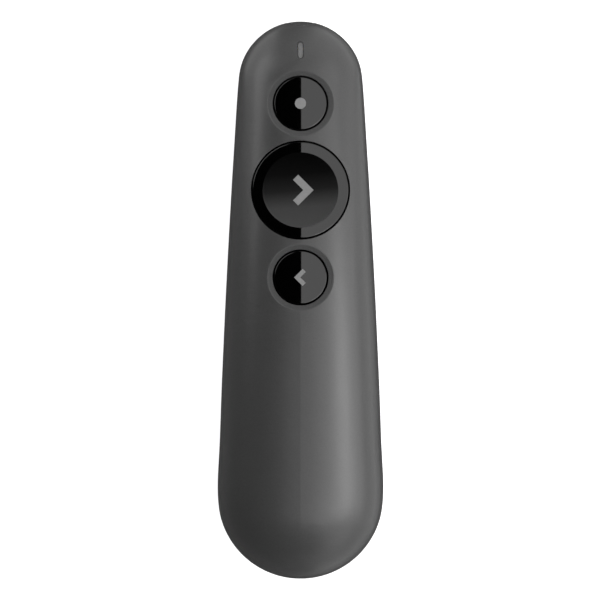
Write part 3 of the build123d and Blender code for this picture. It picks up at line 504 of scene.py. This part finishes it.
class ClickerFinish(bpy.types.PropertyGroup):
    """Colours and sheens of the clicker."""

    casing: FloatVectorProperty(
        name="Casing", description="Graphite of the upper shell", subtype="COLOR", size=3,
        min=0, max=1, default=linear("303030"),
    )
    belly: FloatVectorProperty(
        name="Belly", description="Lower shell and battery door", subtype="COLOR", size=3,
        min=0, max=1, default=linear("2a2a2a"),
    )
    key: FloatVectorProperty(
        name="Keys", description="Piano black of the three keys", subtype="COLOR", size=3,
        min=0, max=1, default=linear("010101"),
    )
    # The dish's tail-side tone is a painted reflection, which fades into painted shade at the nose
    # side.
    dish: FloatVectorProperty(
        name="Dish", description="Tail side of the dish, which fades to black at its nose side",
        subtype="COLOR", size=3, min=0, max=1, default=linear("383838"),
    )
    ink: FloatVectorProperty(
        name="Ink", description="Printed marks on the keys", subtype="COLOR", size=3,
        min=0, max=1, default=linear("6d6d6d"),
    )
    casing_roughness: FloatProperty(
        name="Casing roughness", description="Sheen of the upper shell, higher is duller",
        subtype="FACTOR", min=0, max=1, default=0.31,
    )
    grain: FloatProperty(
        name="Grain", description="Size of the mould's grain in millimetres", min=0.1, max=2,
        default=0.35,
    )


class ClickerMarks(bpy.types.PropertyGroup):
    """Sizes of the printed marks, the lacquered dish and the dull lands."""

    film: FloatProperty(
        name="Film", description="How far the lacquer and the dot stand proud", unit="LENGTH",
        default=0.02 * MM,
    )
    dish_radius: FloatProperty(
        name="Dish radius", description="Radius of the lacquered dish", unit="LENGTH",
        default=8.8 * MM,
    )
    land_radius: FloatProperty(
        name="Land radius", description="Radius of the dull land round the two small keys",
        unit="LENGTH", default=7.8 * MM,
    )
    dot_radius: FloatProperty(
        name="Dot radius", description="Radius of the laser key's dot", unit="LENGTH",
        default=1.31 * MM,
    )
    next_reach: FloatProperty(
        name="Next reach", description="Length of the large angle bracket", unit="LENGTH",
        default=3.0 * MM,
    )
    next_stroke: FloatProperty(
        name="Next stroke", description="Stroke of the large angle bracket", unit="LENGTH",
        default=1.7 * MM,
    )
    back_reach: FloatProperty(
        name="Back reach", description="Length of the small angle bracket", unit="LENGTH",
        default=1.64 * MM,
    )
    back_stroke: FloatProperty(
        name="Back stroke", description="Stroke of the small angle bracket", unit="LENGTH",
        default=1.03 * MM,
    )


class ClickerStage(bpy.types.PropertyGroup):
    """Floor, light and camera."""

    floor_size: FloatProperty(
        name="Floor", description="Width of the floor", unit="LENGTH", default=8.0,
    )
    camera_height: FloatProperty(
        name="Camera height", description="Lens above the table", unit="LENGTH", default=1.5,
    )
    frame_width: FloatProperty(
        name="Frame width", description="Width of the view at the widest line of the body",
        unit="LENGTH", default=140.8 * MM,
    )
    waist: FloatProperty(
        name="Waist", description="Height of the body's widest line", unit="LENGTH",
        default=15.4 * MM,
    )
    ambient: FloatProperty(
        name="Backdrop", description="Brightness of the white backdrop", min=0, default=1.0,
    )
    key_light: FloatProperty(
        name="Key softbox", description="Brightness of the softbox right of the middle", min=0,
        default=1.95,
    )
    softbox_gain: FloatProperty(
        name="Softboxes", description="Gain of the softboxes and cards round the clicker", min=0,
        default=1.0,
    )
    table_light: FloatProperty(
        name="Light table", description="Brightness of the light under the floor", min=0,
        default=3.9,
    )
    table_drop: FloatProperty(
        name="Table drop", description="Depth of that light below the floor", unit="LENGTH",
        default=0.1,
    )
    table_size: FloatProperty(
        name="Table size", description="Width of that light", unit="LENGTH", default=3.0,
    )
    floor_glow: FloatProperty(
        name="Floor glow", description="Light that shows through the floor", min=0, default=0.95,
    )


# The floor lies a hair under the belly, so that the two don't share a plane.
FLOOR_DROP = 0.05 * MM
# The level key softbox hangs over the right of the clicker. The keys mirror it, so its left edge,
# 9 mm right of the middle, parts each of them into a black half and a grey one.
KEY_SOFTBOX_CENTRE = (0.384, 0.15, 1.2)
KEY_SOFTBOX_SIZE = (0.75, 1.5)
# Where the lens stands over the table, a hair off the middle to frame the clicker.
LENS_OFFSET = (-0.12 * MM, -0.06 * MM)
FAR_CLIP = 20


def softbox(name, centre, size, radiance, level=False):
    """Rectangular light aimed at the clicker, or straight down. Its radiance is even all over."""
    light = bpy.data.lights.new(name, "AREA")
    light.shape = "RECTANGLE"
    light.size, light.size_y = size
    # An area light's watts, spread over its face and divided by pi, are its radiance.
    light.energy = radiance * math.pi * size[0] * size[1]
    made = bpy.data.objects.new(name, light)
    bpy.context.scene.collection.objects.link(made)
    made.location = centre
    if not level:
        made.rotation_euler = Vector(centre).to_track_quat("Z", "Y").to_euler()
    made.visible_camera = False
    return made


# Name, bearing from +X and tilt from straight up in degrees, size across and up, and brightness.
# Front is where the nose points. The cards also reach below the table's top, which lets their
# light through as a glass one does, so the flanks are lit down to their widest line.
SOFTBOXES = (
    ("right_upper_softbox", -10, 28.5, (0.66, 0.42), 4.9),
    ("back_right_upper_softbox", -59, 28.5, (0.46, 0.42), 2.1),
    ("right_softbox", -5, 47, (0.66, 0.41), 3.0),
    ("back_right_softbox", -50, 47, (1.0, 0.41), 2.0),
    ("front_left_softbox", 137, 46, (0.9, 0.48), 2.75),
    ("back_right_card", -57.5, 82, (1.35, 1.34), 1.2),
    ("right_card", -7.5, 82, (1.08, 1.34), 1.42),
    ("front_right_card", 51, 73, (1.8, 1.84), 1.55),
    ("front_left_card", 135, 82, (1.5, 1.34), 1.5),
    ("back_right_low_card", -57.5, 120, (1.35, 0.56), 0.4),
    ("right_low_card", -7.5, 120, (1.08, 0.56), 0.5),
    ("front_right_low_card", 42, 120, (1.4, 0.56), 0.5),
    ("front_left_low_card", 135, 120, (1.5, 0.56), 0.15),
)
SOFTBOX_REACH = 1.3


def aimed(bearing, tilt):
    """Place on the ring of lights, from its bearing and its tilt from straight up."""
    turn, lean = math.radians(bearing), math.radians(tilt)
    out = SOFTBOX_REACH * math.sin(lean)
    return out * math.cos(turn), out * math.sin(turn), SOFTBOX_REACH * math.cos(lean)


class CLICKER_OT_stage(bpy.types.Operator):
    """Make the white floor, the softboxes and the camera that looks straight down"""

    bl_idname = "clicker.stage"
    bl_label = "Stage"

    def execute(self, context):
        scene = context.scene
        stage = scene.clicker_stage
        scene.view_settings.view_transform = "Standard"
        scene.view_settings.look = "None"

        bm = bmesh.new()
        bmesh.ops.create_grid(bm, x_segments=1, y_segments=1, size=stage.floor_size / 2)
        bmesh.ops.translate(bm, verts=bm.verts, vec=(0, 0, -FLOOR_DROP))
        mesh = bpy.data.meshes.new("floor")
        bm.to_mesh(mesh)
        bm.free()
        floor = bpy.data.objects.new("floor", mesh)
        scene.collection.objects.link(floor)
        # The camera alone sees it: the light table under it lights the clicker in its stead.
        floor.visible_glossy = False
        floor.visible_diffuse = False
        floor.visible_shadow = False
        # Seamless coated paper with light coming through it, so it stays white all round.
        paper, tree, shader, place = new_material(
            "seamless_paper_coated", Roughness=0.9, Emission_Strength=stage.floor_glow
        )
        shader.inputs["Emission Color"].default_value = (1, 1, 1, 1)
        fibre = add_node(
            tree, "ShaderNodeTexNoise", {"Vector": place, "Scale": per_mm(2.0), "Detail": 3.0}
        ).outputs["Fac"]
        tint = shades(tree, fibre, ((0.3, "a4a4a4"), (0.7, "aaaaaa")))
        tree.links.new(tint, shader.inputs["Base Color"])
        mesh.materials.append(paper)

        world = bpy.data.worlds.new("white_room")
        scene.world = world
        world.use_nodes = True
        background = world.node_tree.nodes["Background"]
        background.inputs["Color"].default_value = (1, 1, 1, 1)
        background.inputs["Strength"].default_value = stage.ambient
        # The camera alone sees the white room: the softboxes and the table light the clicker.
        world.cycles_visibility.glossy = False
        world.cycles_visibility.diffuse = False

        # A large sheet of light under the floor, which fills from below and mirrors nowhere.
        below = softbox(
            "light_table", (0, 0, -stage.table_drop), (stage.table_size, stage.table_size),
            stage.table_light,
        )
        below.visible_glossy = False
        softbox(
            "key_softbox", KEY_SOFTBOX_CENTRE, KEY_SOFTBOX_SIZE, stage.key_light, level=True
        )
        for name, bearing, tilt, size, radiance in SOFTBOXES:
            softbox(name, aimed(bearing, tilt), size, radiance * stage.softbox_gain)

        camera = bpy.data.cameras.new("camera")
        to_waist = stage.camera_height - stage.waist
        camera.lens = camera.sensor_width * to_waist / stage.frame_width
        camera.clip_end = FAR_CLIP
        eye = bpy.data.objects.new("camera", camera)
        eye.location = (*LENS_OFFSET, stage.camera_height)
        scene.collection.objects.link(eye)
        scene.camera = eye
        return {"FINISHED"}


class CLICKER_OT_casing(bpy.types.Operator):
    """Finish the two shells and the battery door in spark-eroded ABS"""

    bl_idname = "clicker.casing"
    bl_label = "Casing"

    def execute(self, context):
        finish = context.scene.clicker_finish
        land_radius = context.scene.clicker_marks.land_radius
        lands = [((0, middle(key).y, 0), land_radius) for key in ("laser_button", "back_button")]
        upper = spark_eroded_abs(
            "abs_spark_eroded_graphite", tuple(finish.casing), grain=finish.grain,
            roughness=finish.casing_roughness, depth=0.004, lands=lands,
        )
        dress(upper, "casing_plastic", "upper_housing", "receiver_cap")
        # The belly's mould is eroded more coarsely, for grip.
        lower = spark_eroded_abs(
            "abs_spark_eroded_black", tuple(finish.belly), grain=finish.grain * 1.5,
            roughness=finish.casing_roughness + 0.08, depth=0.008,
        )
        dress(lower, "belly_plastic", "lower_housing", "battery_door")
        return {"FINISHED"}


FLANGE_HEIGHT = 0.8 * MM


class CLICKER_OT_keys(bpy.types.Operator):
    """Finish the three keys in piano black"""

    bl_idname = "clicker.keys"
    bl_label = "Keys"

    def execute(self, context):
        colour = tuple(context.scene.clicker_finish.key)
        flange_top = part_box("laser_button")[0].z + FLANGE_HEIGHT
        gloss = polished_abs(
            "abs_polished_black", colour, roughness=0.03, dull_below=flange_top
        )
        dress(gloss, "key_plastic", "laser_button", "next_button", "back_button")
        return {"FINISHED"}


# The painted light across the dish, a painted reflection on the tail side that fades into painted
# shade towards the nose: how far along, and the share of the tail side's tone that is left there.
# It ends in the key's own black.
DISH_PAINTED_SHADE = ((0.0, 1.0), (0.27, 0.84), (0.5, 0.2), (0.72, 0.04))
DISH_PAINTED_SHADE_END = 0.95
DISH_TURN = math.radians(5)


class CLICKER_OT_dish(bpy.types.Operator):
    """Lacquer the dish of the next key, its colour a painted reflection fading into painted shade
    """

    bl_idname = "clicker.dish"
    bl_label = "Dish"

    def execute(self, context):
        scene = context.scene
        radius = scene.clicker_marks.dish_radius
        centre = (0, middle("next_button").y, 0)
        # The tail side's tone is the painted reflection, and the key's black at the nose side is
        # painted shade.
        tail = tuple(scene.clicker_finish.dish)
        painted_shade_tones = [(along, toned(tail, share)) for along, share in DISH_PAINTED_SHADE]
        painted_shade_tones.append((DISH_PAINTED_SHADE_END, tuple(scene.clicker_finish.key)))
        lacquer = soft_touch_lacquer(
            "lacquer_soft_touch_painted_shade", centre, radius, DISH_TURN, painted_shade_tones
        )
        bm = disc(centre, radius, rings=24, steps=96)
        print_on(
            "dish_lacquer_painted_shade", bm, "next_button", "next_key", scene.clicker_marks.film, lacquer,
        )
        return {"FINISHED"}


def key_ink():
    """Ink shared by the three marks."""
    name = "ink_pad_printed_grey"
    colour = tuple(bpy.context.scene.clicker_finish.ink)
    return bpy.data.materials.get(name) or printed_ink(name, colour)


class CLICKER_OT_dot(bpy.types.Operator):
    """Print the dot on the laser key"""

    bl_idname = "clicker.dot"
    bl_label = "Laser dot"

    def execute(self, context):
        marks = context.scene.clicker_marks
        bm = disc((0, middle("laser_button").y, 0), marks.dot_radius, rings=4, steps=48)
        print_on(
            "laser_mark", bm, "laser_button", "laser_key", marks.film, key_ink()
        )
        return {"FINISHED"}


# Where the tip of each bracket lies, right of the middle of its key.
NEXT_TIP = 1.85 * MM
BACK_TIP = -0.77 * MM
# They stand twice as proud as the lacquer, so that the large one shows on the dish.
BRACKET_RISE = 2


class CLICKER_OT_brackets(bpy.types.Operator):
    """Print the angle brackets on the next and back keys"""

    bl_idname = "clicker.brackets"
    bl_label = "Angle brackets"

    def execute(self, context):
        marks = context.scene.clicker_marks
        rise = BRACKET_RISE * marks.film
        for name, node, body, tip_x, reach, stroke in (
            ("next_mark", "next_button", "next_key", NEXT_TIP, -marks.next_reach,
             marks.next_stroke),
            ("back_mark", "back_button", "back_key", BACK_TIP, marks.back_reach,
             marks.back_stroke),
        ):
            tip = (tip_x, middle(node).y, 0)
            bm = chevron(tip, reach, abs(reach), stroke)
            print_on(name, bm, node, body, rise, key_ink())
        return {"FINISHED"}


class CLICKER_OT_laser(bpy.types.Operator):
    """Finish the laser module: turned brass barrel, diode, lens and smoked window"""

    bl_idname = "clicker.laser"
    bl_label = "Laser module"

    def execute(self, context):
        dress(turned_brass("brass_turned"), "brass", "laser_barrel")
        can = drawn_metal(
            "steel_nickel_plated", ("9c9a94", "c4c2bb"), along="Y", line=0.15, roughness=0.28,
            depth=0.002,
        )
        dress(can, "plated_steel", "laser_diode", "crystal")
        lens = clear_plastic(
            "acrylic_moulded_lens", linear("f2f4f6"), roughness=0.02, haze=2.0
        )
        dress(lens, "clear_window", "laser_lens")
        window = moulded_plastic(
            "polycarbonate_smoked", linear("343434"), grain=1.5, roughness=0.14, IOR=1.58
        )
        dress(window, "clear_window", "laser_window")
        return {"FINISHED"}


class CLICKER_OT_light(bpy.types.Operator):
    """Finish the status light and its pipe"""

    bl_idname = "clicker.light"
    bl_label = "Status light"

    def execute(self, context):
        pipe = moulded_plastic(
            "polycarbonate_frosted", linear("545454"), grain=0.3, roughness=0.4, IOR=1.58
        )
        dress(pipe, "diffuser", "light_pipe")
        lamp = moulded_plastic(
            "silicone_phosphor", linear("e3d98a"), grain=0.1, roughness=0.35, IOR=1.41
        )
        dress(lamp, "diffuser", "status_led")
        return {"FINISHED"}


class CLICKER_OT_board(bpy.types.Operator):
    """Finish the circuit board, its chip and its switches"""

    bl_idname = "clicker.board"
    bl_label = "Circuit board"

    def execute(self, context):
        dress(masked_laminate("glass_epoxy_solder_mask"), "board_laminate", "main_board")
        chip = moulded_plastic(
            "epoxy_mould_compound", linear("242424"), grain=0.12, roughness=0.55, IOR=1.55
        )
        dress(chip, "chip_plastic", "radio_chip")
        nylon = moulded_plastic(
            "nylon_glass_filled", linear("303030"), grain=0.25, roughness=0.5, IOR=1.53
        )
        dress(nylon, "switch_plastic", "laser_switch", "next_switch", "back_switch")
        acetal = moulded_plastic(
            "acetal_natural", linear("d8d4c8"), grain=0.4, roughness=0.42, IOR=1.48
        )
        dress(acetal, "plunger_plastic", "laser_plunger", "next_plunger", "back_plunger")
        return {"FINISHED"}


class CLICKER_OT_bay(bpy.types.Operator):
    """Finish the dry cell, its contacts, the coil spring and the lead"""

    bl_idname = "clicker.bay"
    bl_label = "Battery bay"

    def execute(self, context):
        low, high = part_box("battery_cell")
        sleeve = printed_sleeve("pvc_shrink_sleeve", (low.y, high.y))
        dress(sleeve, "cell_sleeve", "battery_cell")
        wire = drawn_metal(
            "spring_steel_nickel_plated", ("a9a7a1", "cfcdc6"), along="X", line=0.1,
            roughness=0.25, depth=0.001,
        )
        dress(wire, "plated_steel", "negative_spring", "negative_contact", "positive_contact")
        lead = moulded_plastic(
            "pvc_extruded_black", linear("1c1c1c"), grain=0.5, roughness=0.4, IOR=1.53
        )
        dress(lead, "lead_insulation", "negative_lead")
        return {"FINISHED"}


class CLICKER_OT_receiver(bpy.types.Operator):
    """Finish the receiver's plug: drawn steel shell, white tongue and gilt strips"""

    bl_idname = "clicker.receiver"
    bl_label = "Receiver"

    def execute(self, context):
        shell = drawn_metal(
            "steel_drawn_nickel", ("a3a19b", "cac8c2"), along="Y", line=0.2, roughness=0.3,
            depth=0.003,
        )
        dress(shell, "plated_steel", "receiver_shell")
        tongue = moulded_plastic(
            "lcp_moulded_white", linear("dcdcd8"), grain=0.3, roughness=0.45, IOR=1.6
        )
        dress(tongue, "tongue_plastic", "receiver_tongue")
        gilt = drawn_metal(
            "gold_flash_plated", ("c9a24a", "e8c877"), along="Y", line=0.08, roughness=0.22,
            depth=0.001,
        )
        dress(gilt, "gilt", "receiver_contacts")
        return {"FINISHED"}


class CLICKER_OT_screws(bpy.types.Operator):
    """Finish the screws in blackened steel"""

    bl_idname = "clicker.screws"
    bl_label = "Screws"

    def execute(self, context):
        steel = drawn_metal(
            "steel_blackened", ("2c2b2a", "4a4845"), along="Z", line=0.15, roughness=0.38,
            depth=0.003,
        )
        dress(steel, "screw_steel", "board_screws", "housing_screws")
        return {"FINISHED"}


OPERATORS = (
    CLICKER_OT_stage,
    CLICKER_OT_casing,
    CLICKER_OT_keys,
    CLICKER_OT_dish,
    CLICKER_OT_dot,
    CLICKER_OT_brackets,
    CLICKER_OT_laser,
    CLICKER_OT_light,
    CLICKER_OT_board,
    CLICKER_OT_bay,
    CLICKER_OT_receiver,
    CLICKER_OT_screws,
)


class CLICKER_PT_sidebar(bpy.types.Panel):
    """Sizes, colours and pieces of the clicker"""

    bl_idname = "CLICKER_PT_sidebar"
    bl_label = "Presentation clicker"
    bl_space_type = "VIEW_3D"
    bl_region_type = "UI"
    bl_category = "Clicker"

    def draw(self, context):
        layout = self.layout
        for group in ("clicker_finish", "clicker_marks", "clicker_stage"):
            settings = getattr(context.scene, group)
            box = layout.box()
            for name in settings.bl_rna.properties.keys():
                if name not in ("rna_type", "name"):
                    box.prop(settings, name)
        for operator in OPERATORS:
            layout.operator(operator.bl_idname)


GROUPS = (
    ("clicker_finish", ClickerFinish),
    ("clicker_marks", ClickerMarks),
    ("clicker_stage", ClickerStage),
)


def register():
    for name, group in GROUPS:
        bpy.utils.register_class(group)
        setattr(bpy.types.Scene, name, PointerProperty(type=group))
    for made in (*OPERATORS, CLICKER_PT_sidebar):
        bpy.utils.register_class(made)


def unregister():
    for made in reversed((*OPERATORS, CLICKER_PT_sidebar)):
        bpy.utils.unregister_class(made)
    for name, group in reversed(GROUPS):
        delattr(bpy.types.Scene, name)
        bpy.utils.unregister_class(group)


def main():
    register()
    for operator in OPERATORS:
        verb = operator.bl_idname.split(".")[1]
        getattr(bpy.ops.clicker, verb)()


if __name__ == "__main__":
    main()
